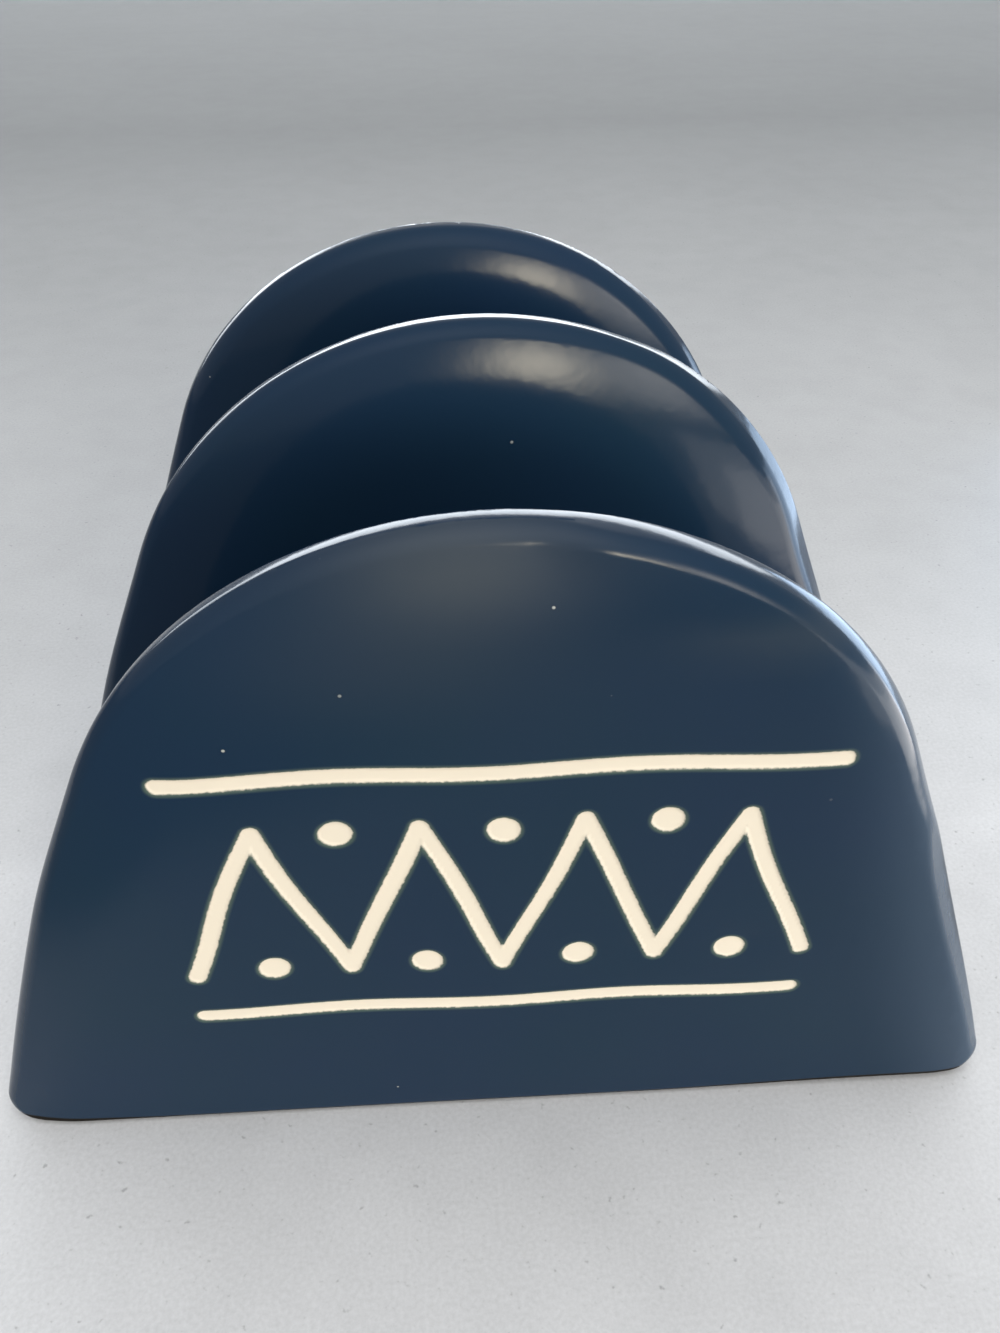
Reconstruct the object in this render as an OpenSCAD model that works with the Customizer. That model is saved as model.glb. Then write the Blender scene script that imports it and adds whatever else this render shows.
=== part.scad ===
// Taco holder: three upright half-round walls on a low base, cast in one piece of glazed ceramic.
// X runs along the walls, Y from the front wall to the back wall, Z up, in millimetres.
// The origin is at the middle of the underside.

/* [Walls] */
// Number of upright walls, with a slot between each pair
wall_count = 3; // [2:1:5]
// Width of a wall at its widest, just above the bottom corners
wall_w = 152; // [130:1:200]
// Height of a wall at its crown
wall_h = 107; // [95:1:125]
// Thickness of a wall
wall_t = 7; // [5:0.5:12]
// Clear width of a slot between two walls
slot_w = 44.5; // [30:0.5:70]

/* [Wall outline] */
// Radius of the round top of a wall
crown_r = 58; // [50:1:62]
// Radius of the gently bowed sides
side_r = 460; // [300:10:900]
// Radius of the bottom corners
corner_r = 8.5; // [7:0.5:12]
// Rounding of the edges all round a wall
rim_r = 2.3; // [0.8:0.1:2.4]

/* [Base] */
// Thickness of the floor of a slot
floor_t = 10; // [8:0.5:20]
// Radius of the hollow where the floor turns up into a wall
hollow_r = 14; // [5:0.5:14.5]
// How far the base stands back from the outline of the walls
base_inset = 7; // [5:0.5:12]

/* [Front ornament] */
// Width of an incised line
line_w = 2.4; // [1.5:0.1:3.5]
// Depth of an incised line
line_depth = 0.6; // [0.3:0.1:1.2]
// Number of slanting strokes in the zigzag
stroke_count = 8; // [4:2:12]
// Width of the zigzag, between its end points
zigzag_w = 84; // [50:1:92]
// Height of the zigzag, between its lower and upper points
zigzag_h = 28; // [14:1:34]
// Height of the middle of the ornament above the underside
ornament_z = 50.5; // [44:0.5:56]
// Distance of the straight border lines above and below the middle
border_z = 23; // [18:0.5:26]
// Diameter of the dots
dot_d = 4.4; // [2.4:0.1:6]

/* [Hidden] */
$fn = 96;

// Distance from one wall to the next, and the depth of the whole piece
wall_pitch = wall_t + slot_w;
depth = (wall_count - 1) * wall_pitch + wall_t;

// Centres of the crown arc, of the right bottom corner and of the right side arc, which is
// tangent to both, as [x, z] in the plane of a wall
crown_c = [0, wall_h - crown_r];
corner_c = [wall_w / 2 - corner_r, corner_r];
reach_crown = side_r - crown_r;
reach_corner = side_r - corner_r;
span = norm(corner_c - crown_c);
along = (corner_c - crown_c) / span;
across = [-along[1], along[0]];
foot = (pow(reach_crown, 2) - pow(reach_corner, 2) + pow(span, 2)) / (2 * span);
rise = sqrt(pow(reach_crown, 2) - pow(foot, 2));
side_c = crown_c + foot * along - rise * across;

// Angles at which the side arc takes over from the crown and hands over to the corner
crown_end = atan2(crown_c[1] - side_c[1], crown_c[0] - side_c[0]);
side_end = atan2(corner_c[1] - side_c[1], corner_c[0] - side_c[0]);

// Steps in which the corner, side and crown arcs and the rounding of the rim are drawn
corner_steps = 7;
side_steps = 5;
crown_steps = 18;
rim_steps = 4;
side_step = (crown_end - side_end) / side_steps;
crown_step = (90 - crown_end) / crown_steps;

// Height at which the hollows end, and the overlap that keeps cuts clean
hollow_top = floor_t + hollow_r;
cut_extra = 1;

// Half the width of the hollowed cut, which runs a hair into each wall, so that the hollow
// meets the wall's face at a clear angle
hollow_tuck = 0.1;
hollow_half = slot_w / 2 + hollow_tuck;

// Round ends of the lines, a hair wider than the lines so that they cross at a clear angle
line_end_extra = 0.06;
line_end_d = line_w + line_end_extra;

// Spacing of the zigzag's points, and the height of the dots above or below its middle
stroke_step = zigzag_w / stroke_count;
dot_z = zigzag_h / 2 - dot_d / 2 + line_w / 2;

// Points along an arc, from one angle to another
function arc_points(centre, radius, from, to, steps) = [
    for (i = [0 : steps])
        let (angle = from + (to - from) * i / steps)
            centre + radius * [cos(angle), sin(angle)]
];

// Right half of a wall's outline, moved inwards by inset, from the bottom to the crown
function right_half(inset) = concat(
    arc_points(corner_c, corner_r - inset, -90, side_end, corner_steps),
    arc_points(side_c, side_r - inset, side_end + side_step, crown_end, side_steps - 1),
    arc_points(crown_c, crown_r - inset, crown_end + crown_step, 90, crown_steps - 1)
);

// Whole outline, anticlockwise from the bottom right
function wall_outline(inset) =
    let (half = right_half(inset), last = len(half) - 1)
        concat(half, [for (i = [1 : last]) [-half[last - i][0], half[last - i][1]]]);

// Inset of the outline and distance from the front face at step i round the rim
function rim_ring(i) =
    let (angle = 90 * i / rim_steps)
        [rim_r * (1 - sin(angle)), rim_r * (1 - cos(angle))];

// One upright wall, with its middle plane at y = 0: rings of points from the front face, round
// the rim, to the back face, with a flat face at each end
module wall() {
    front = [for (i = [0 : rim_steps]) rim_ring(i)];
    back = [for (i = [rim_steps : -1 : 0]) [front[i][0], wall_t - front[i][1]]];
    rings = concat(front, back);
    count = len(wall_outline(0));
    points = [
        for (ring = rings, point = wall_outline(ring[0]))
            [point[0], ring[1] - wall_t / 2, point[1]]
    ];
    sides = [
        for (k = [0 : len(rings) - 2], i = [0 : count - 1])
            let (a = k * count + i, b = k * count + (i + 1) % count)
                each [[a, b, a + count], [b, b + count, a + count]]
    ];
    front_face = [for (i = [count - 1 : -1 : 0]) i];
    back_face = [for (i = [0 : count - 1]) (len(rings) - 1) * count + i];
    polyhedron(points, concat([front_face, back_face], sides));
}

// Section of the floor under one slot, with a hollow up to the wall on each side
module floor_section() {
    difference() {
        translate([-wall_pitch / 2, 0])
            square([wall_pitch, hollow_top]);
        translate([hollow_r - hollow_half, floor_t])
            square([2 * (hollow_half - hollow_r), hollow_r + cut_extra]);
        for (side = [-1, 1])
            translate([side * (hollow_half - hollow_r), hollow_top])
                circle(hollow_r);
    }
}

// Outline of the base seen from the front, set back from the outline of the walls
module base_outline() {
    intersection() {
        translate([-wall_w / 2, 0])
            square([wall_w, hollow_top + cut_extra]);
        translate(side_c)
            circle(side_r - base_inset);
        mirror([1, 0])
            translate(side_c)
                circle(side_r - base_inset);
    }
}

// Base under one slot, with the middle of the slot at y = 0
module base_stretch() {
    intersection() {
        translate([-wall_w / 2, 0, 0])
            rotate([90, 0, 90])
                linear_extrude(wall_w)
                    floor_section();
        translate([0, wall_pitch, 0])
            rotate([90, 0, 0])
                linear_extrude(2 * wall_pitch)
                    base_outline();
    }
}

// Straight bar of the line's width between two points of the front face
module bar(from, to) {
    reach = to - from;
    translate(from)
        rotate(atan2(reach[1], reach[0]))
            translate([0, -line_w / 2])
                square([norm(reach), line_w]);
}

// Round spot centred on a point of the front face
module spot(at, diameter) {
    translate(at)
        circle(diameter / 2);
}

// Point number i of the zigzag, from the left
function zigzag_point(i) =
    [i * stroke_step - zigzag_w / 2, (i % 2 == 0 ? -1 : 1) * zigzag_h / 2];

// Plain zigzag with a dot in each triangle, between two border lines
module ornament() {
    for (i = [0 : stroke_count - 1])
        bar(zigzag_point(i), zigzag_point(i + 1));
    for (i = [0 : stroke_count])
        spot(zigzag_point(i), line_end_d);
    for (i = [1 : stroke_count - 1])
        spot([zigzag_point(i)[0], (i % 2 == 0 ? 1 : -1) * dot_z], dot_d);
    for (side = [-1, 1]) {
        bar([-zigzag_w / 2, side * border_z], [zigzag_w / 2, side * border_z]);
        for (end = [-1, 1])
            spot([end * zigzag_w / 2, side * border_z], line_end_d);
    }
}

// The whole piece, with the ornament incised in the front wall
module holder() {
    color("midnightblue")
        difference() {
            union() {
                for (i = [0 : wall_count - 1])
                    translate([0, (wall_t - depth) / 2 + i * wall_pitch, 0])
                        wall();
                for (i = [0 : wall_count - 2])
                    translate([0, (wall_t + wall_pitch - depth) / 2 + i * wall_pitch, 0])
                        base_stretch();
            }
            translate([0, line_depth - depth / 2, ornament_z])
                rotate([90, 0, 0])
                    linear_extrude(line_depth + cut_extra)
                        ornament();
        }
}

holder();
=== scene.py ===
import math
import bpy
import numpy as np
from mathutils import Matrix, Vector


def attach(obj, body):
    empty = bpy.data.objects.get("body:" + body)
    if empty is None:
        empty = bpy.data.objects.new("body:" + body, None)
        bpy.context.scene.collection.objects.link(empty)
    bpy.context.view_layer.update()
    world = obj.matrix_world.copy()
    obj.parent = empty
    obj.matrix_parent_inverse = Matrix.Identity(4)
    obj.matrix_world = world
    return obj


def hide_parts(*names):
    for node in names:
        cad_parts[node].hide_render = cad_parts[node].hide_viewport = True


# Taco holder, cast in one piece and glazed navy: three upright half-round walls on a low base.
# The shape is worked out in millimetres and turned into metres when the mesh is made.
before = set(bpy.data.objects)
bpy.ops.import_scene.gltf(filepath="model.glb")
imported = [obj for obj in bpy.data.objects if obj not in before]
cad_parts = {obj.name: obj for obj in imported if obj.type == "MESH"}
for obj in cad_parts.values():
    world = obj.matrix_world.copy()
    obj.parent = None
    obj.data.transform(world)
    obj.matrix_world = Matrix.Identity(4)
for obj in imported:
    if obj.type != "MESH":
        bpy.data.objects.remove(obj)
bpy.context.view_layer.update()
print("CAD model loaded")

metresPerMm = 0.001
farAway = 1000.0           # longer than any distance on the holder
probeStep = 0.04           # how far to each side the surface is felt for its slope
tiny = 1e-9                # keeps a division by a length of zero harmless

# Outline of a wall at the standard size, which each wall is scaled from, and what the walls share
wallShape = {
    "width": 154.4,
    "height": 107.0,
    "thickness": 7.0,
    "crownRadius": 57.6,
    "sideRadius": 900.0,
    "cornerRadius": 4.2,
    "footEdge": (1.6, 2.4),  # radius of the front edge along the bottom of a wall, left and right
    "backReach": 9.0,      # how far from the edge a back face begins to fall back
    "slant": 38.0,         # turn of the slanted band from the rim towards the front, in degrees
    "bandAtFoot": 0.6,     # width of the band at its lower end, as a share of its full width
    "bandLeast": 0.05,     # a narrower band is left out
    "noBand": -1.0,        # distance that stands for no band: well inside the wall
    "bandJoin": 0.45,      # softness where the band meets the front face
}

# The three walls from front to back: hand finishing left each a little different. The front face
# swells, and falls back by frontFall within frontReach of the rim. Three values are for the top
# left, the top right and the right side. From the side the rim is round, with the radius crown,
# and highest at crownMiddle in front of the middle. A slanted band, as wide as bevel, leads from
# the front face to the rim on the right. The left side stands out by leftFlare at the bottom.
walls = [
    {
        "y": -51.5, "shift": 1.00, "width": 155.0, "height": 106.0, "lean": 0.44, "turn": -1.00,
        "leftFlare": 1.4, "bevel": 3.0, "frontSwell": 0.35,
        "frontFall": (2.3, 0.9, 1.8), "frontReach": (13.0, 7.0, 10.0), "frontEdge": (2.0, 1.8, 0.9),
        "backFall": 0.3, "backEdge": (0.7, 0.7, 0.9),
        "crown": (12.0, 12.0, 8.5), "crownMiddle": (0.6, 0.2, -3.0),
    },
    {
        "y": 0.0, "shift": 0.96, "width": 154.8, "height": 108.5, "lean": -0.52, "turn": 1.51,
        "leftFlare": 1.2, "bevel": 0.0, "frontSwell": 1.5,
        "frontFall": (4.1, 4.1, 4.1), "frontReach": (19.0, 19.0, 19.0), "frontEdge": (2.1, 2.1, 1.2),
        "backFall": -0.4, "backEdge": (0.5, 0.5, 1.5),
        "crown": (20.0, 20.0, 36.0), "crownMiddle": (0.6, 0.6, -20.0),
    },
    {
        "y": 51.5, "shift": -1.60, "width": 152.2, "height": 105.7, "lean": -0.71, "turn": -1.03,
        "leftFlare": 0.0, "bevel": 0.0, "frontSwell": 1.5,
        "frontFall": (4.1, 4.1, 4.1), "frontReach": (19.0, 19.0, 19.0), "frontEdge": (2.4, 2.4, 1.4),
        "backFall": 0.3, "backEdge": (0.5, 0.5, 1.3),
        "crown": (20.0, 20.0, 36.0), "crownMiddle": (-3.2, -3.2, -17.0),
    },
]

# Stretches over which a form comes in: the place where there is none of it, then where there is all
stretches = {
    # across a wall, from its middle towards the right
    "topRight": (4.0, 13.0),
    "rightSide": (20.0, 60.0),
    # where the painted reflection of blue light on the right side comes in
    "reflectionSide": (34.0, 60.0),
    # where the painted contact shade along the bottom grows to its height on the right
    "footShadeRight": (20.0, 60.0),
    # across, from where the arc of a bottom corner begins outwards
    "cornerRim": (-1.0, 3.5),
    # across, towards the left
    "flareLeft": (0.0, -50.0),
    # where the painted contact shade reaches higher at the front left corner
    "liftLeft": (-45.0, -74.0),
    # from the middle wall towards the front
    "liftFront": (0.0, -40.0),
    # up, or down where the second place is the lower one
    "shoulder": (40.0, 66.0),
    "footEdge": (12.0, 2.0),
    "rimRound": (1.0, 9.0),
    "bandWidens": (6.0, 42.0),
    "bandTop": (76.0, 46.0),
    "bandFoot": (0.5, 7.0),
    "flare": (78.0, 46.0),
    "waves": (0.0, 6.0),
}

# Floor between the walls, with hollows that turn up into them
baseShape = {
    "floor": 10.0,
    "hollow": 14.0,
    "setBack": 7.0,
    "endEdge": 2.0,        # softness of the edge at the open ends of a slot
    "underEdge": 1.2,      # softness of the edge round the underside
    "join": 2.2,           # softness where the base meets a wall
    "groundEdge": 0.3,     # softness of every edge on the table
    "foot": (1.20, 2.20),  # height of the painted contact shade along the bottom, left and right
    "cornerShadeLift": 0.8,     # how much higher the painted shade reaches at the front left corner
}

# Incised ornament on the front wall: a zigzag with a dot in each triangle between two lines
ornamentShape = {
    "strokes": 8,
    "width": 84.0,
    "height": 28.0,
    "middle": 50.5,
    "border": 23.0,
    "line": 2.4,
    "dot": 4.4,
    "depth": 0.30,
    "edge": (-0.48, 0.30),  # where a cut is deepest and where it begins, from the edge of a line
    "wobble": 0.35,        # how far the hand-drawn lines stray
    "acrossWave": (5.3, 11.0),  # lengths of the waves that they stray in
    "acrossPhase": 0.6,
    "upWave": 6.1,
    "upPhase": 1.9,
}

# Soft dents in the front face: x, z, reach across, reach up, depth
frontDents = [
    (11.5, 101.0, 6.0, 4.0, 0.22),
    (20.2, 37.8, 3.6, 3.0, 0.16),
    (34.4, 38.6, 4.0, 3.2, 0.14),
    (-12.0, 90.0, 20.0, 14.0, 0.10),
    (-20.0, 12.0, 26.0, 12.0, 0.12),
]

# Slow waves in the clay that no cast surface is free of, each length along x, y and z
clayWave = {
    "depth": 0.045,
    "broad": (23.0, 31.0, 19.0),
    "broadPhase": (0.7, 1.3),
    "fine": (12.5, 17.0, 15.0),
    "finePhase": 2.1,
    "fineShare": 0.6,
}

# Where the glaze of the front face is duller, and painted lighter as a sheen for hazy reflected light:
# x, z, reach across, reach up, amount
dullSheenPatches = [
    (-4.0, 102.5, 13.0, 6.5, 0.68),
    (-10.0, 92.0, 20.0, 10.0, 0.22),
    (34.0, 92.0, 12.0, 3.0, 0.25),
]

# Painted reflection of blue light from the right: how much bluer and lighter the front face is painted
# towards its right side, and how much more on the slanted band, with the distances from the outline
# where it begins and is full
paintedSideReflection = {
    "amount": 0.48,
    "stretch": (-19.0, -1.0),
    "bandAmount": 0.50,
    "bandStretch": (-4.4, -1.4),
}

meshQuality = {
    "gridXZ": 3.2,
    "gridY": 1.6,
    "acrossRange": (-82.0, 82.1),
    "depthRange": (-60.2, 60.3),
    "lowLayers": (-0.8, 0.3, 1.4),  # layers close together at the foot
    "upRange": (3.4, 112.0),        # and the evenly spaced layers above them
    "rounds": 7,
    "bend": 5.6,           # largest turn of the surface along one edge, in degrees
    "shortest": 0.30,      # an edge shorter than this is not split
    "lineEdge": 0.55,      # longest edge on a line of the ornament
    "lineMargins": (-0.9, 0.7),     # how far inside and outside a line's edge it counts as on it
    "enough": 152000,      # no more rounds beyond this many triangles
    "firstSteps": 5,       # steps in which the first points move onto the surface
    "steps": 3,            # and those in which later ones do
    "longestMove": 1.0,    # how far a point moves at most in one step
    "flattest": 0.05,      # least slope that a step reckons with
}

# How far in front of the middle of the front wall its front face begins, how far behind the
# middle its cuts are still worked out, and the largest measures kept for the glaze
frontFaceFrom = 1.5
frontCutTo = 1.0
farthestLine = 12.0
highestFootShade = 3.0


def smoothStep(start, end, value):
    t = np.clip((value - start) / (end - start), 0, 1)
    return t * t * (3 - 2 * t)


# Share of a form at a place, from none to all over the named stretch
def share(name, place):
    start, end = stretches[name]
    return smoothStep(start, end, place)


def softMax(a, b, softness):
    gap = np.clip(0.5 + 0.5 * (a - b) / softness, 0, 1)
    return b + (a - b) * gap + softness * gap * (1 - gap)


def softMin(a, b, softness):
    return -softMax(-a, -b, softness)


# Round arcs that touch each other: centres and the angles at which one hands over to the next
def outlineArcs(shape):
    crown = np.array([0.0, shape["height"] - shape["crownRadius"]])
    corner = np.array([shape["width"] / 2 - shape["cornerRadius"], shape["cornerRadius"]])
    reachCrown = shape["sideRadius"] - shape["crownRadius"]
    reachCorner = shape["sideRadius"] - shape["cornerRadius"]
    span = np.linalg.norm(corner - crown)
    along = (corner - crown) / span
    across = np.array([-along[1], along[0]])
    foot = (reachCrown ** 2 - reachCorner ** 2 + span ** 2) / (2 * span)
    side = crown + foot * along - math.sqrt(reachCrown ** 2 - foot ** 2) * across
    return {
        "crown": crown,
        "corner": corner,
        "side": side,
        "crownEnd": math.atan2(crown[1] - side[1], crown[0] - side[0]),
        "sideEnd": math.atan2(corner[1] - side[1], corner[0] - side[0]),
    }


arcs = outlineArcs(wallShape)


# Distance from the round top and the sides alone
def archDistance(x, z):
    crown, side = arcs["crown"], arcs["side"]
    x = np.abs(x)
    angle = np.arctan2(z - side[1], x - side[0])
    sides = np.hypot(x - side[0], z - side[1]) - wallShape["sideRadius"]
    top = np.hypot(x - crown[0], z - crown[1]) - wallShape["crownRadius"]
    return np.where(angle > arcs["crownEnd"], top, sides)


# Distance from the whole outline of a wall, below zero inside
def outlineDistance(x, z):
    corner = arcs["corner"]
    x = np.abs(x)
    angle = np.arctan2(z - corner[1], x - corner[0])
    rounded = np.hypot(x - corner[0], z - corner[1]) - wallShape["cornerRadius"]
    inCorner = (angle <= arcs["sideEnd"]) & (angle >= -math.pi / 2)
    return np.where(inCorner, rounded, np.maximum(archDistance(x, z), -z))


# A place in the frame seen from a wall: across, towards the back, up, at the standard size
def wallPlace(places, wall):
    x = places[:, 0] - wall["shift"]
    x = x + wall["leftFlare"] * share("flare", places[:, 2]) * share("flareLeft", x)
    y = places[:, 1] - wall["y"] - x * math.sin(math.radians(wall["turn"]))
    y = y - places[:, 2] * math.tan(math.radians(wall["lean"]))
    return x * wallShape["width"] / wall["width"], y, places[:, 2] * wallShape["height"] / wall["height"]


def edgeFall(inset, fall, reach):
    return fall * np.clip(1 + inset / reach, 0, 1) ** 2


# Distance from a wall's rim and one of its faces, with a round edge between them
def roundedSide(rim, face, edge):
    a, b = rim + edge, face + edge
    return np.hypot(np.maximum(a, 0), np.maximum(b, 0)) + np.minimum(np.maximum(a, b), 0) - edge


# How far the rim is rounded down across a wall's thickness; the underside stays flat
def rimDrop(x, y, z, middle, radius):
    beyond = np.maximum(np.abs(middle) - wallShape["thickness"] / 2, 0)
    drop = ((y + middle) ** 2 - beyond ** 2) / (2 * radius)
    onSide = share("cornerRim", np.abs(x) - wallShape["width"] / 2 + wallShape["cornerRadius"])
    return drop * np.maximum(share("rimRound", z), onSide)


# Distance from the slanted band along the right side, which narrows towards its ends and meets
# the front face at its inner edge
def bandDistance(z, arch, face, wide, fall, reach):
    atFoot = wallShape["bandAtFoot"]
    wide = wide * (atFoot + (1 - atFoot) * share("bandWidens", z))
    wide = wide * share("bandTop", z) * share("bandFoot", z)
    meets = fall * (1 - wide / reach) ** 2
    slant = math.radians(wallShape["slant"])
    band = (arch + wide) * math.cos(slant) + (face + meets) * math.sin(slant)
    return np.where(wide > wallShape["bandLeast"], band, wallShape["noBand"])


def wallDistance(places, wall):
    x, y, z = wallPlace(places, wall)
    right = share("topRight", x)
    side = share("rightSide", x)
    shoulder = side * share("shoulder", z)

    # a wall's value at each place, out of those for the top left, top right and right side
    def here(name, side=side):
        left, topRight, rightSide = wall[name]
        value = left + (topRight - left) * right
        return value + (rightSide - value) * side

    arch = archDistance(x, z)
    half = wallShape["thickness"] / 2
    rim = outlineDistance(x, z)
    rim = rim + rimDrop(x, y, z, here("crownMiddle", shoulder), here("crown", shoulder))
    frontFall = edgeFall(arch, here("frontFall"), here("frontReach"))
    backFall = edgeFall(arch, wall["backFall"], wallShape["backReach"])
    low = share("footEdge", z)
    footLeft, footShadeRight = wallShape["footEdge"]
    frontEdge = here("frontEdge") * (1 - low) + (footLeft + (footShadeRight - footLeft) * side) * low
    face = -y - half - wall["frontSwell"]
    front = roundedSide(rim, face + frontFall, frontEdge)
    band = bandDistance(z, arch, face, wall["bevel"] * side, here("frontFall"), here("frontReach"))
    front = softMax(front, band, wallShape["bandJoin"])
    back = roundedSide(rim, y - half + backFall, here("backEdge", shoulder))
    return np.maximum(front, back)


# Floor of the slot between two walls
def floorDistance(places, yMiddle, pitch):
    x, y, z = places[:, 0], np.abs(places[:, 1] - yMiddle), places[:, 2]
    radius = baseShape["hollow"]
    halfSlot = (pitch - wallShape["thickness"]) / 2
    centreY = halfSlot - radius
    centreZ = baseShape["floor"] + radius
    flat = z - baseShape["floor"]
    hollow = radius - np.hypot(np.maximum(y - centreY, 0), np.minimum(z - centreZ, 0))
    trough = np.where(y > centreY, hollow, flat)
    trough = np.where(z > centreZ, np.maximum(trough, z - centreZ), trough)
    ends = archDistance(x, z) + baseShape["setBack"]
    body = softMax(trough, ends, baseShape["endEdge"])
    body = softMax(body, -z, baseShape["underEdge"])
    return np.maximum(body, y - pitch / 2)


def segmentDistance(x, z, a, b):
    ax, az = a
    dx, dz = b[0] - ax, b[1] - az
    t = np.clip(((x - ax) * dx + (z - az) * dz) / (dx * dx + dz * dz), 0, 1)
    return np.hypot(x - ax - t * dx, z - az - t * dz)


# Distance from the edge of the nearest line or dot of the ornament, below zero on it
def ornamentDistance(x, z):
    shape = ornamentShape
    waveUp, waveAcross = shape["acrossWave"]
    x = x + shape["wobble"] * np.sin(z / waveUp + shape["acrossPhase"]) * np.cos(x / waveAcross)
    z = z - shape["middle"] + shape["wobble"] * np.sin(x / shape["upWave"] + shape["upPhase"])
    step = shape["width"] / shape["strokes"]
    points = [(i * step - shape["width"] / 2, (1 if i % 2 else -1) * shape["height"] / 2)
              for i in range(shape["strokes"] + 1)]
    lines = list(zip(points[:-1], points[1:]))
    for side in (-1, 1):
        lines.append(((-shape["width"] / 2, side * shape["border"]),
                      (shape["width"] / 2, side * shape["border"])))
    away = np.full(x.shape, farAway)
    for a, b in lines:
        away = np.minimum(away, segmentDistance(x, z, a, b) - shape["line"] / 2)
    dotZ = shape["height"] / 2 - shape["dot"] / 2 + shape["line"] / 2
    for i in range(1, shape["strokes"]):
        dx, dz = points[i][0], (-1 if i % 2 else 1) * dotZ
        away = np.minimum(away, np.hypot(x - dx, z - dz) - shape["dot"] / 2)
    return away


# Sum of round soft patches on a wall's face, each with its amount as the last value
def patchSum(x, z, patches):
    total = 0
    for px, pz, reachX, reachZ, amount in patches:
        total = total + amount * np.exp(-((x - px) / reachX) ** 2 - ((z - pz) / reachZ) ** 2)
    return total


# How far the ornament lies from each point, and how deep the front face is cut or dented there
def frontFaceCut(places):
    x, y, z = wallPlace(places, walls[0])
    away = ornamentDistance(x, z)
    deepest, begins = ornamentShape["edge"]
    cut = ornamentShape["depth"] * (1 - smoothStep(deepest, begins, away))
    return away, np.where(y < 0, cut + patchSum(x, z, frontDents), 0)


def clayWaves(places):
    x, y, z = places[:, 0], places[:, 1], places[:, 2]
    acrossPhase, upPhase = clayWave["broadPhase"]
    alongX, alongY, alongZ = clayWave["broad"]
    broad = np.sin(x / alongX + y / alongY + acrossPhase) * np.sin(z / alongZ + upPhase)
    alongX, alongY, alongZ = clayWave["fine"]
    fine = np.sin(x / alongX - z / alongZ + y / alongY + clayWave["finePhase"])
    return clayWave["depth"] * (broad + clayWave["fineShare"] * fine)


# The walls and floors together, without the ornament and the waves
def bodyDistance(places):
    pitch = walls[1]["y"] - walls[0]["y"]
    distance = wallDistance(places, walls[0])
    for wall in walls[1:]:
        distance = np.minimum(distance, wallDistance(places, wall))
    for front, back in zip(walls[:-1], walls[1:]):
        floor = floorDistance(places, (front["y"] + back["y"]) / 2, pitch)
        distance = softMin(distance, floor, baseShape["join"])
    return distance


# Height above the top of the painted contact shade along the bottom, which stands for the shadow under
# the edge
def aboveFootShade(places):
    x, y, z = places[:, 0], places[:, 1], places[:, 2]
    lift = baseShape["cornerShadeLift"] * share("liftLeft", x) * share("liftFront", y)
    left, right = baseShape["foot"]
    return z - left - (right - left) * share("footShadeRight", x) - lift


def holderDistance(places):
    distance = bodyDistance(places)
    front = places[:, 1] < walls[0]["y"] + frontCutTo
    if front.any():
        distance[front] += frontFaceCut(places[front])[1]
    distance = distance + clayWaves(places) * share("waves", places[:, 2])
    return softMax(distance, -places[:, 2], baseShape["groundEdge"])


# How much the distance grows along each axis over twice the probe step
def distanceRise(places):
    rise = np.empty_like(places)
    for axis in range(3):
        offset = np.zeros(3)
        offset[axis] = probeStep
        rise[:, axis] = holderDistance(places + offset) - holderDistance(places - offset)
    return rise


def surfaceNormal(places):
    rise = distanceRise(places)
    return rise / np.maximum(np.linalg.norm(rise, axis=1, keepdims=True), tiny)


# Moves points onto the surface
def settle(places, steps):
    for _ in range(steps):
        slope = distanceRise(places) / (2 * probeStep)
        steepness = np.maximum((slope * slope).sum(1, keepdims=True), meshQuality["flattest"])
        move = holderDistance(places)[:, None] * slope / steepness
        far = np.linalg.norm(move, axis=1, keepdims=True)
        places = places - move * np.minimum(1, meshQuality["longestMove"] / np.maximum(far, tiny))
    return places


# Numbers of the grid cells that the surface crosses, with a point in each
def crossedCells(grids, values):
    inside = values < 0
    cells = np.zeros(tuple(n - 1 for n in values.shape), int)
    corners = [(i, j, k) for i in (0, 1) for j in (0, 1) for k in (0, 1)]
    for i, j, k in corners:
        cells += inside[i:i + cells.shape[0], j:j + cells.shape[1], k:k + cells.shape[2]]
    live = (cells > 0) & (cells < len(corners))
    number = np.full(cells.shape, -1)
    number[live] = np.arange(live.sum())
    cell = np.nonzero(live)
    total = np.zeros((live.sum(), 3))
    count = np.zeros(live.sum())
    for corner in corners:
        for axis in range(3):
            if corner[axis]:
                continue
            near = tuple(cell[n] + corner[n] for n in range(3))
            far = tuple(cell[n] + (1 if n == axis else corner[n]) for n in range(3))
            nearValue, farValue = values[near], values[far]
            cross = (nearValue < 0) != (farValue < 0)
            t = np.where(cross, nearValue / np.where(cross, nearValue - farValue, 1), 0)
            for n in range(3):
                start, end = grids[n][near[n]], grids[n][far[n]]
                total[:, n] += np.where(cross, start + (end - start) * t, 0)
            count += cross
    return number, total / count[:, None]


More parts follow.
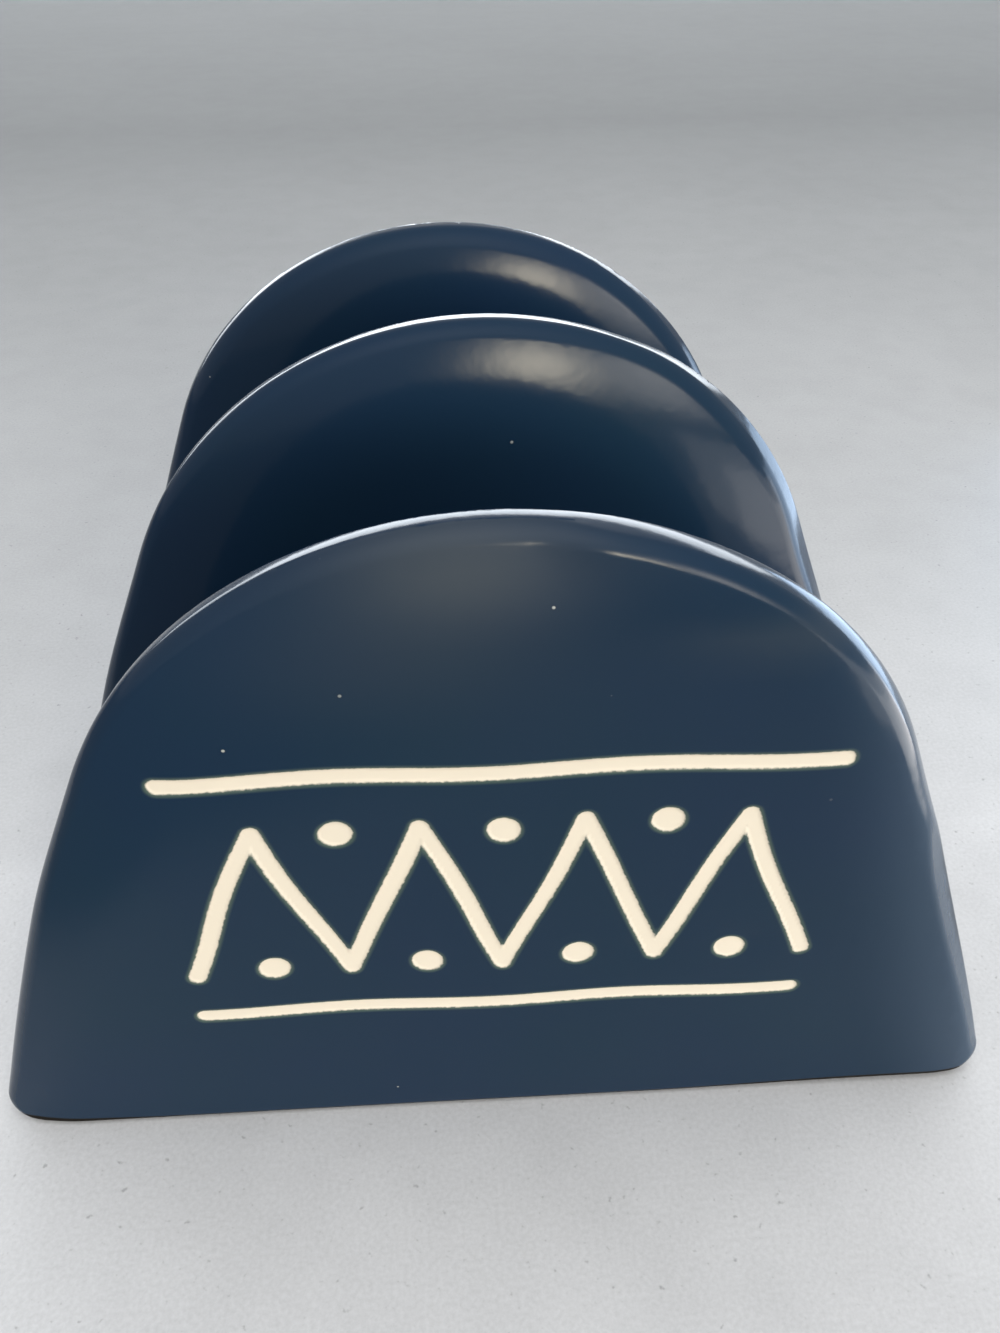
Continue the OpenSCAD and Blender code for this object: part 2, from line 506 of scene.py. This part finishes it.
# Closed surface of four-sided faces through the cells that the surface crosses
def surfaceNet(xs, ys, zs):
    gx, gy, gz = np.meshgrid(xs, ys, zs, indexing="ij")
    values = holderDistance(np.stack([gx.ravel(), gy.ravel(), gz.ravel()], 1)).reshape(gx.shape)
    number, points = crossedCells((xs, ys, zs), values)
    inside = values < 0
    quads = []
    for axis in range(3):
        u, v = (axis + 1) % 3, (axis + 2) % 3
        low = [slice(None)] * 3
        high = [slice(None)] * 3
        low[axis], high[axis] = slice(0, -1), slice(1, None)
        at = np.stack(np.nonzero(inside[tuple(low)] != inside[tuple(high)]), 1)
        keep = (at[:, u] > 0) & (at[:, v] > 0)
        keep &= (at[:, u] < number.shape[u]) & (at[:, v] < number.shape[v])
        at = at[keep]
        ring = []
        for du, dv in ((1, 1), (0, 1), (0, 0), (1, 0)):
            cell = at.copy()
            cell[:, u] -= du
            cell[:, v] -= dv
            ring.append(number[cell[:, 0], cell[:, 1], cell[:, 2]])
        quad = np.stack(ring, 1)
        flip = ~inside[at[:, 0], at[:, 1], at[:, 2]]
        quad[flip] = quad[flip][:, ::-1]
        quads.append(quad)
    return points, np.concatenate(quads)


# Splits four-sided faces along their shorter diagonal
def toTriangles(points, quads):
    a, b, c, d = quads.T
    short = (np.linalg.norm(points[a] - points[c], axis=1)
             <= np.linalg.norm(points[b] - points[d], axis=1))
    first = np.where(short[:, None], np.stack([a, b, c], 1), np.stack([a, b, d], 1))
    second = np.where(short[:, None], np.stack([a, c, d], 1), np.stack([b, c, d], 1))
    return np.concatenate([first, second])


# Edges to be halved: where the surface turns, or where a line of the ornament runs
def edgesToSplit(points, edges):
    normals = surfaceNormal(points)
    a, b = edges.T
    length = np.linalg.norm(points[a] - points[b], axis=1)
    turn = np.degrees(np.arccos(np.clip((normals[a] * normals[b]).sum(1), -1, 1)))
    middle = (points[a] + points[b]) / 2
    marked = (turn > meshQuality["bend"]) & (length > meshQuality["shortest"])
    onFront = (middle[:, 1] < walls[0]["y"] - frontFaceFrom) & (length > meshQuality["lineEdge"])
    if onFront.any():
        away = np.full(len(middle), farAway)
        away[onFront] = frontFaceCut(middle[onFront])[0]
        inner, outer = meshQuality["lineMargins"]
        marked |= (away > inner - length / 2) & (away < outer + length / 2)
    return marked, middle


# Cuts triangles that have one, two or three edges halved, turned so that those edges come first
def cutTriangles(points, tris, mids, halved):
    (a, b, c), (ab, bc, ca) = tris.T, mids.T
    if halved == 1:
        return [(a, ab, c), (ab, b, c)]
    if halved == 3:
        return [(a, ab, ca), (ab, b, bc), (ca, bc, c), (ab, bc, ca)]
    short = (np.linalg.norm(points[ab] - points[c], axis=1)
             <= np.linalg.norm(points[bc] - points[a], axis=1))
    return [(ab, b, bc),
            (a, ab, np.where(short, c, bc)),
            (np.where(short, ab, a), bc, c)]


# One round of splitting
def splitRound(points, tris):
    pairs = np.sort(np.concatenate([tris[:, [0, 1]], tris[:, [1, 2]], tris[:, [2, 0]]]), axis=1)
    edges, where = np.unique(pairs, axis=0, return_inverse=True)
    where = where.reshape(3, -1).T
    marked, middle = edgesToSplit(points, edges)
    if not marked.any():
        return points, tris, 0
    fresh = settle(middle[marked], meshQuality["steps"])
    newNumber = np.full(len(edges), -1)
    newNumber[marked] = len(points) + np.arange(marked.sum())
    points = np.concatenate([points, fresh])
    mids = newNumber[where]
    count = (mids >= 0).sum(1)
    out = [tris[count == 0]]
    for halved in (1, 2, 3):
        chosen, onEdges = tris[count == halved], mids[count == halved]
        if not len(chosen):
            continue
        # the corner that each triangle starts from, so that its halved edges come first
        lead = np.zeros(len(chosen), int)
        for corner in range(3):
            if halved == 1:
                lead[onEdges[:, corner] >= 0] = corner
            elif halved == 2:
                lead[onEdges[:, (corner + 2) % 3] < 0] = corner
        rows = np.arange(len(chosen))[:, None]
        order = (lead[:, None] + np.arange(3)) % 3
        parts = cutTriangles(points, chosen[rows, order], onEdges[rows, order], halved)
        out += [np.stack(corners, 1) for corners in parts]
    return points, np.concatenate(out), int(marked.sum())


# Points and triangles of the whole surface
def holderSurface():
    quality = meshQuality
    xs = np.arange(*quality["acrossRange"], quality["gridXZ"])
    ys = np.arange(*quality["depthRange"], quality["gridY"])
    zs = np.concatenate([quality["lowLayers"], np.arange(*quality["upRange"], quality["gridXZ"])])
    points, quads = surfaceNet(xs, ys, zs)
    points = settle(points, quality["firstSteps"])
    tris = toTriangles(points, quads)
    print("surface of", len(tris), "triangles")
    for _ in range(quality["rounds"]):
        points, tris, split = splitRound(points, tris)
        print("split", split, "edges, now", len(tris), "triangles")
        if split == 0 or len(tris) > quality["enough"]:
            break
    return points, tris


# Measures of the surface kept on its points, which the glaze and its painted reflection, sheen and
# contact shade follow
def addMeasures(mesh, points):
    x, y, z = wallPlace(points, walls[0])
    onFront = y < 0
    onFace = points[:, 1] < walls[0]["y"] - frontFaceFrom
    inset = archDistance(x, z)
    blue = paintedSideReflection["amount"] * smoothStep(*paintedSideReflection["stretch"], inset)
    blue += paintedSideReflection["bandAmount"] * smoothStep(*paintedSideReflection["bandStretch"], inset)
    lineAway = np.minimum(frontFaceCut(points)[0], farthestLine)
    measures = {
        "lineDistance": np.where(onFace, lineAway, farthestLine),
        "footShadeHeight": np.minimum(aboveFootShade(points), highestFootShade),
        "sideBlueReflection": blue * share("reflectionSide", x) * onFront,
        "dullnessAndSheen": np.where(onFront, np.clip(patchSum(x, z, dullSheenPatches), 0, 1), 0),
    }
    for name, values in measures.items():
        layer = mesh.attributes.new(name, "FLOAT", "POINT")
        layer.data.foreach_set("value", values.astype(np.float32))


def buildHolder():
    points, tris = holderSurface()
    mesh = bpy.data.meshes.new("tacoHolder")
    mesh.from_pydata((points * metresPerMm).tolist(), [], tris.tolist())
    mesh.polygons.foreach_set("use_smooth", np.ones(len(mesh.polygons), bool))
    addMeasures(mesh, points)
    mesh.normals_split_custom_set_from_vertices(surfaceNormal(points).tolist())
    mesh.update()
    holder = bpy.data.objects.new("tacoHolder", mesh)
    bpy.context.scene.collection.objects.link(holder)
    return holder


holder = buildHolder()
print("holder built:", len(holder.data.polygons), "triangles")


def newMaterial(name):
    material = bpy.data.materials.new(name)
    material.use_nodes = True
    tree = material.node_tree
    return material, tree, tree.nodes["Principled BSDF"]


# Gives each input of a node, by its name or number, a value or a link from another node's output
def setInputs(tree, node, inputs):
    for name, value in inputs.items():
        if isinstance(value, bpy.types.NodeSocket):
            tree.links.new(value, node.inputs[name])
        else:
            node.inputs[name].default_value = value


def addNode(tree, kind, inputs, **settings):
    node = tree.nodes.new(kind)
    for key, value in settings.items():
        setattr(node, key, value)
    setInputs(tree, node, inputs)
    return node


def addMath(tree, operation, *values):
    node = addNode(tree, "ShaderNodeMath", dict(enumerate(values)), operation=operation)
    return node.outputs["Value"]


# Brings a value that runs from start to end to the range from low to high
def addRange(tree, value, start, end, low=0.0, high=1.0, kind="LINEAR"):
    inputs = {"Value": value, "From Min": start, "From Max": end, "To Min": low, "To Max": high}
    return addNode(tree, "ShaderNodeMapRange", inputs, interpolation_type=kind).outputs["Result"]


def addMask(tree, value, start, end):
    return addRange(tree, value, start, end, kind="SMOOTHSTEP")


def addMix(tree, factor, a, b, kind="RGBA", **settings):
    inputs = {"Factor": factor, "A": a, "B": b}
    return addNode(tree, "ShaderNodeMix", inputs, data_type=kind, **settings).outputs["Result"]


def addNoise(tree, place, scale, detail, roughness=0.5):
    inputs = {"Vector": place, "Scale": scale, "Detail": detail, "Roughness": roughness}
    return addNode(tree, "ShaderNodeTexNoise", inputs).outputs["Fac"]


glazeLook = {
    "navy": (0.0070, 0.0180, 0.0465, 1),
    "teal": (0.0066, 0.0222, 0.0395, 1),
    "mottle": (26, 3),     # scale and detail of the drift from navy to teal
    # painted sheen: a lighter grey for the hazy reflected light on the duller patches
    "paintedSheen": (0.050, 0.061, 0.073, 1),
    # painted reflection of blue light from the right
    "steelReflection": (0.036, 0.061, 0.100, 1),
    "halo": (0.050, 0.078, 0.072, 1),
    "haloReach": 0.7,      # how far beside the bare lines the glaze is thin, in mm
    "clay": (0.590, 0.550, 0.475, 1),
    "clayEdge": (0.10, -0.20),  # from the edge of a line, where bare clay begins and is full
    "ragged": 0.17,        # how far the edge of the bare lines strays, in mm
    "crumbs": (1500, 2),   # scale and detail of that straying
    # painted contact shade: a nearly black band along the bottom for the shadow under the edge, with the
    # heights, from its top, where it begins and is full
    "foot": (0.006, 0.005, 0.004, 1),
    "footEdge": (0.12, -0.10),
    "speck": (0.42, 0.44, 0.42, 1),
    "speckCells": 130,     # cells to a metre, some of which have a speck near their middle
    "speckSize": (0.036, 0.018),  # from a speck's middle, where it begins and is full, in cells
    "speckless": 0.50,     # share of the cells without a speck
    "roughness": (0.11, 0.17),
    "dull": 0.05,          # how much rougher the dullest places are
    "clayRoughness": 0.6,
    "footRoughness": 0.9,
    "peel": (420, 2),      # scale and detail of the fine unevenness of the glaze
    "peelStrength": 0.25,
    "peelDepth": 0.0001,
    "ior": 1.23,
}


# Pale specks, each near the middle of a cell, in some of the cells
def speckMask(tree, place):
    look = glazeLook
    cells = addNode(tree, "ShaderNodeTexVoronoi", {"Vector": place, "Scale": look["speckCells"]})
    chosen = addNode(tree, "ShaderNodeSeparateColor", {"Color": cells.outputs["Color"]})
    few = addRange(tree, chosen.outputs["Red"], look["speckless"], 1.0)
    return addMath(tree, "MULTIPLY", addMask(tree, cells.outputs["Distance"], *look["speckSize"]), few)


def glazeMaterial():
    look = glazeLook
    material, tree, shader = newMaterial("navyGlaze")
    place = addNode(tree, "ShaderNodeTexCoord", {}).outputs["Object"]

    def measure(name):
        return addNode(tree, "ShaderNodeAttribute", {}, attribute_name=name).outputs["Fac"]

    lineAway, dullnessAndSheen = measure("lineDistance"), measure("dullnessAndSheen")
    crumbs = addNoise(tree, place, *look["crumbs"])
    stray = addRange(tree, crumbs, 0, 1, -look["ragged"], look["ragged"])
    clay = addMask(tree, addMath(tree, "ADD", lineAway, stray), *look["clayEdge"])
    # painted contact shade along the bottom
    foot = addMask(tree, measure("footShadeHeight"), *look["footEdge"])
    mottle = addNoise(tree, place, *look["mottle"])
    colour = addMix(tree, mottle, look["navy"], look["teal"])
    colour = addMix(tree, addMask(tree, lineAway, look["haloReach"], 0.0), colour, look["halo"])
    # in turn: painted blue reflection, painted sheen, specks, bare clay and the painted contact shade
    for mask, tint in ((measure("sideBlueReflection"), "steelReflection"), (dullnessAndSheen, "paintedSheen"),
                       (speckMask(tree, place), "speck"), (clay, "clay"), (foot, "foot")):
        colour = addMix(tree, mask, colour, look[tint])
    gloss = addRange(tree, mottle, 0, 1, *look["roughness"])
    rough = addMath(tree, "MULTIPLY_ADD", dullnessAndSheen, look["dull"], gloss)
    rough = addMix(tree, clay, rough, look["clayRoughness"], "FLOAT")
    rough = addMix(tree, foot, rough, look["footRoughness"], "FLOAT")
    peel = addNoise(tree, place, *look["peel"])
    bump = addNode(tree, "ShaderNodeBump", {"Strength": look["peelStrength"],
                                            "Distance": look["peelDepth"], "Height": peel})
    setInputs(tree, shader, {"Base Color": colour, "Roughness": rough, "IOR": look["ior"],
                             "Normal": bump.outputs["Normal"]})
    return material


glaze = glazeMaterial()
holder.data.materials.append(glaze)
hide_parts("holder")
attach(holder, "root")


# Camera at the photograph's place and angle, in mm and degrees
cameraView = {
    "place": (-5.71, -153.64, 167.39),
    "yaw": -3.733,
    "down": 38.295,
    "roll": -0.598,
    "focal": 1121.4,       # in pixels of a picture 1333 high
    "pictureHeight": 1333,
    "sensor": 36.0,
    "clipStart": 0.005,
}


def addCamera():
    view = cameraView
    yaw, down, roll = (math.radians(view[k]) for k in ("yaw", "down", "roll"))
    ahead = Vector((-math.sin(yaw), math.cos(yaw), 0))
    forward = ahead * math.cos(down) - Vector((0, 0, math.sin(down)))
    level = Vector((math.cos(yaw), math.sin(yaw), 0))
    upright = level.cross(forward)
    right = level * math.cos(roll) + upright * math.sin(roll)
    up = upright * math.cos(roll) - level * math.sin(roll)
    data = bpy.data.cameras.new("camera")
    data.sensor_width = view["sensor"]
    data.lens = view["focal"] * view["sensor"] / view["pictureHeight"]
    data.clip_start = view["clipStart"]
    camera = bpy.data.objects.new("camera", data)
    turn = Matrix((right, up, -forward)).transposed().to_4x4()
    camera.matrix_world = Matrix.Translation(Vector(view["place"]) * metresPerMm) @ turn
    bpy.context.scene.collection.objects.link(camera)
    bpy.context.scene.camera = camera


addCamera()
print("camera set")

tableLook = {
    "halfSize": 8.0,
    "near": (0.564, 0.578, 0.600, 1),
    "far": (0.108, 0.113, 0.115, 1),
    "fadeReach": 0.6,      # the table is darker with distance, up to here
    "fadePower": 0.58,
    "shadeDirection": (0.6, 1.0, 0.0),
    "shadeStretch": (-0.132, -0.170),  # in that direction, where the shade in front begins and is full
    "shade": 0.65,         # how much darker the table is there
    # mottling, fine grain and flecks: scale, detail, roughness, lowest and highest noise, depth
    "marks": [(7, 3, 0.5, 0.35, 0.70, 0.08), (60, 4, 0.6, 0.40, 0.66, 0.05),
              (1400, 2, 0.6, 0.30, 0.72, 0.12), (700, 2, 0.5, 0.68, 0.78, 0.30)],
    "roughness": 0.6,
    "specular": 0.15,
}


def tableMaterial():
    look = tableLook
    material, tree, shader = newMaterial("paleTable")
    place = addNode(tree, "ShaderNodeTexCoord", {}).outputs["Object"]

    def darken(colour, amount):
        return addMix(tree, 1, colour, amount, blend_type="MULTIPLY")

    apart = addNode(tree, "ShaderNodeSeparateXYZ", {"Vector": place})
    distance = addRange(tree, apart.outputs["Y"], 0, look["fadeReach"])
    fade = addMath(tree, "POWER", distance, look["fadePower"])
    colour = addMix(tree, fade, look["near"], look["far"])
    along = addNode(tree, "ShaderNodeVectorMath", {0: place, 1: look["shadeDirection"]},
                    operation="DOT_PRODUCT").outputs["Value"]
    shade = addRange(tree, along, *look["shadeStretch"], 1.0, 1 - look["shade"], "SMOOTHSTEP")
    colour = darken(colour, shade)
    for scale, detail, roughness, low, high, depth in look["marks"]:
        noise = addNoise(tree, place, scale, detail, roughness)
        colour = darken(colour, addRange(tree, noise, low, high, 1.0, 1 - depth))
    setInputs(tree, shader, {"Base Color": colour, "Roughness": look["roughness"],
                             "Specular IOR Level": look["specular"]})
    return material


def addTable():
    size = tableLook["halfSize"]
    mesh = bpy.data.meshes.new("table")
    mesh.from_pydata([(-size, -size, 0), (size, -size, 0), (size, size, 0), (-size, size, 0)], [],
                     [(0, 1, 2, 3)])
    mesh.materials.append(tableMaterial())
    table = bpy.data.objects.new("table", mesh)
    bpy.context.scene.collection.objects.link(table)


addTable()


# Soft lights, each a rectangle facing the holder: azimuth from the back towards the right,
# elevation, distance in metres, width, height, brightness, colour, and whether it shows only as
# a reflection
lightShape = {
    "overhead": (85, 79, 2.0, 1.5, 1.5, 2.55, (1.0, 0.99, 0.98), False),
    "coolCard": (70, 10, 0.24, 0.20, 0.085, 5.0, (0.58, 0.76, 1.0), True),
    "warmCard": (112, 10, 0.18, 0.12, 0.055, 3.6, (1.0, 0.95, 0.90), True),
    "warmCardBack": (114, 11, 0.20, 0.20, 0.075, 3.2, (1.0, 0.95, 0.90), True),
}


# Direction at an azimuth and an elevation in degrees
def direction(azimuth, elevation):
    turn, rise = math.radians(azimuth), math.radians(elevation)
    return Vector((math.sin(turn) * math.cos(rise), math.cos(turn) * math.cos(rise), math.sin(rise)))


def addLight(name, azimuth, elevation, away, width, height, brightness, colour, reflected):
    data = bpy.data.lights.new(name, "AREA")
    data.shape = "RECTANGLE"
    data.size, data.size_y = width, height
    data.energy = brightness * math.pi * width * height
    data.color = colour
    light = bpy.data.objects.new(name, data)
    towards = direction(azimuth, elevation)
    light.location = towards * away
    light.rotation_euler = towards.to_track_quat("Z", "Y").to_euler()
    light.visible_camera = False
    light.visible_glossy = reflected
    light.visible_diffuse = not reflected
    bpy.context.scene.collection.objects.link(light)


for name, values in lightShape.items():
    addLight(name, *values)

roomLight = {
    "ambient": 0.62,
    # soft glows on the walls of the room, and one shade: azimuth, elevation, spread, brightness, colour
    "glows": [(166, 10, 7, 35.0, (1.0, 0.89, 0.68)),
              (146, 10, 11, 12.5, (1.0, 0.93, 0.85)),
              (0, 32, 22, 0.70, (1.0, 1.0, 0.97)),
              (180, 55, 30, 1.25, (1.0, 1.0, 1.0)),
              (-150, 0, 50, -0.54, (1.0, 1.0, 1.0))],
    # window: azimuth, half width, lowest and highest elevation, softness, brightness, colour
    "window": (-6, 46, 0.5, 16.5, 1.0, 7.5, (0.86, 0.93, 1.0)),
}


def addWorld():
    world = bpy.data.worlds.new("studio")
    world.use_nodes = True
    tree = world.node_tree
    place = addNode(tree, "ShaderNodeTexCoord", {}).outputs["Generated"]
    apart = addNode(tree, "ShaderNodeSeparateXYZ", {"Vector": place})
    azimuth = addMath(tree, "ARCTAN2", apart.outputs["X"], apart.outputs["Y"])
    elevation = addMath(tree, "ARCSINE", apart.outputs["Z"])

    def angleMask(value, dark, bright):
        return addMask(tree, value, math.radians(dark), math.radians(bright))

    # adds light of a colour where the mask is above zero
    def lit(sofar, mask, brightness, colour):
        tint = [c * brightness for c in colour] + [1]
        return addMix(tree, mask, sofar, tint, blend_type="ADD", clamp_factor=False)

    turn, half, low, high, soft, brightness, colour = roomLight["window"]
    away = addMath(tree, "ABSOLUTE", addMath(tree, "SUBTRACT", azimuth, math.radians(turn)))
    upright = addMath(tree, "MULTIPLY", angleMask(elevation, low - soft, low + soft),
                      angleMask(elevation, high + soft, high - soft))
    window = addMath(tree, "MULTIPLY", angleMask(away, half + 2 * soft, half - 2 * soft), upright)
    sofar = lit([roomLight["ambient"]] * 3 + [1], window, brightness, colour)
    for turn, rise, spread, brightness, colour in roomLight["glows"]:
        near = addNode(tree, "ShaderNodeVectorMath", {0: place, 1: direction(turn, rise)},
                       operation="DOT_PRODUCT").outputs["Value"]
        sharpness = 1 / (1 - math.cos(math.radians(spread)))
        glow = addMath(tree, "EXPONENT", addMath(tree, "MULTIPLY_ADD", near, sharpness, -sharpness))
        sofar = lit(sofar, glow, brightness, colour)
    setInputs(tree, tree.nodes["Background"], {"Color": sofar})
    bpy.context.scene.world = world


addWorld()
bpy.context.scene.view_settings.view_transform = "Standard"
print("studio set")
